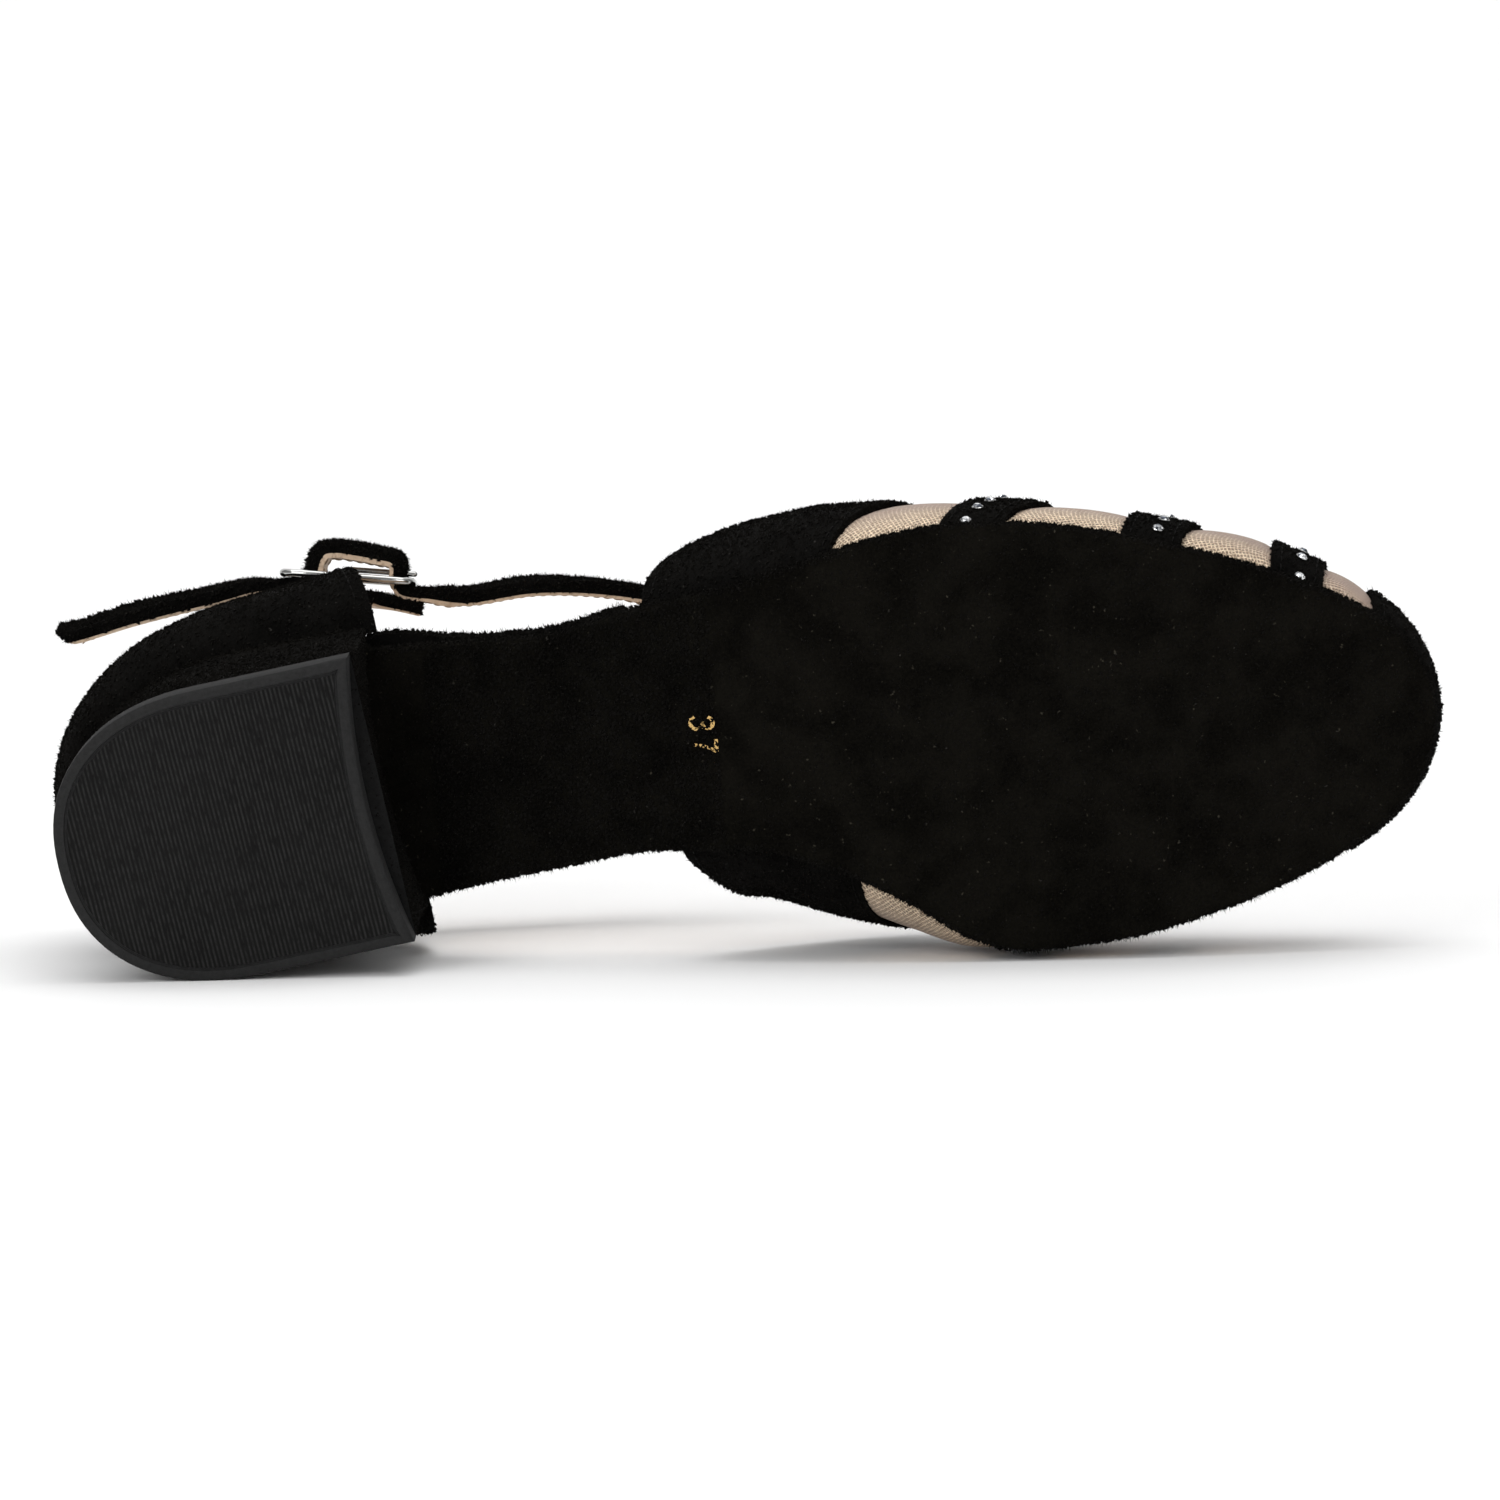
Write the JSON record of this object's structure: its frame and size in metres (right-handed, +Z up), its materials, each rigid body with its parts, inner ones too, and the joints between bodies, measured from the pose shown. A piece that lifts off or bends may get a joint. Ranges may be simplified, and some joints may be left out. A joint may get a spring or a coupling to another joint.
{
  "type": "ballroom dance shoe",
  "caption": "Closed-toe, open-sided ballroom dance shoe with a low flared heel, dark bands over a pale net forepart and a buckled instep strap, lying on its inner side.",
  "frame": {"origin": "middle of the shoe's footprint, on the floor that it lies on", "axes": "+X towards the toe, -Y out of the sole, +Z up, away from the inner side of the foot that the shoe lies on"},
  "size_m": [0.2518, 0.0986, 0.0807],
  "materials": {
    "black_suede": "napped suede",
    "black_suede_sole": "rough suede, unworn",
    "charcoal_rubber": "finely ribbed, matte",
    "beige_net": "fine net over lining",
    "beige_lining": "smooth, soft",
    "polished_steel": "polished"
  },
  "bodies": {
    "root": {"outsole": "black_suede_sole", "insole": "beige_lining", "heel_block": "black_suede", "top_piece": "charcoal_rubber", "counter": "black_suede", "vamp": "beige_net", "vamp_wings": "black_suede", "forefoot_strap_rear": "black_suede", "forefoot_strap_middle": "black_suede", "forefoot_strap_front": "black_suede", "toe_cap": "black_suede", "instep_strap": "black_suede", "buckle_tab": "black_suede", "buckle_frame": "polished_steel", "buckle_prong": "polished_steel", "buckle_hook": "polished_steel"}
  },
  "joints": []
}
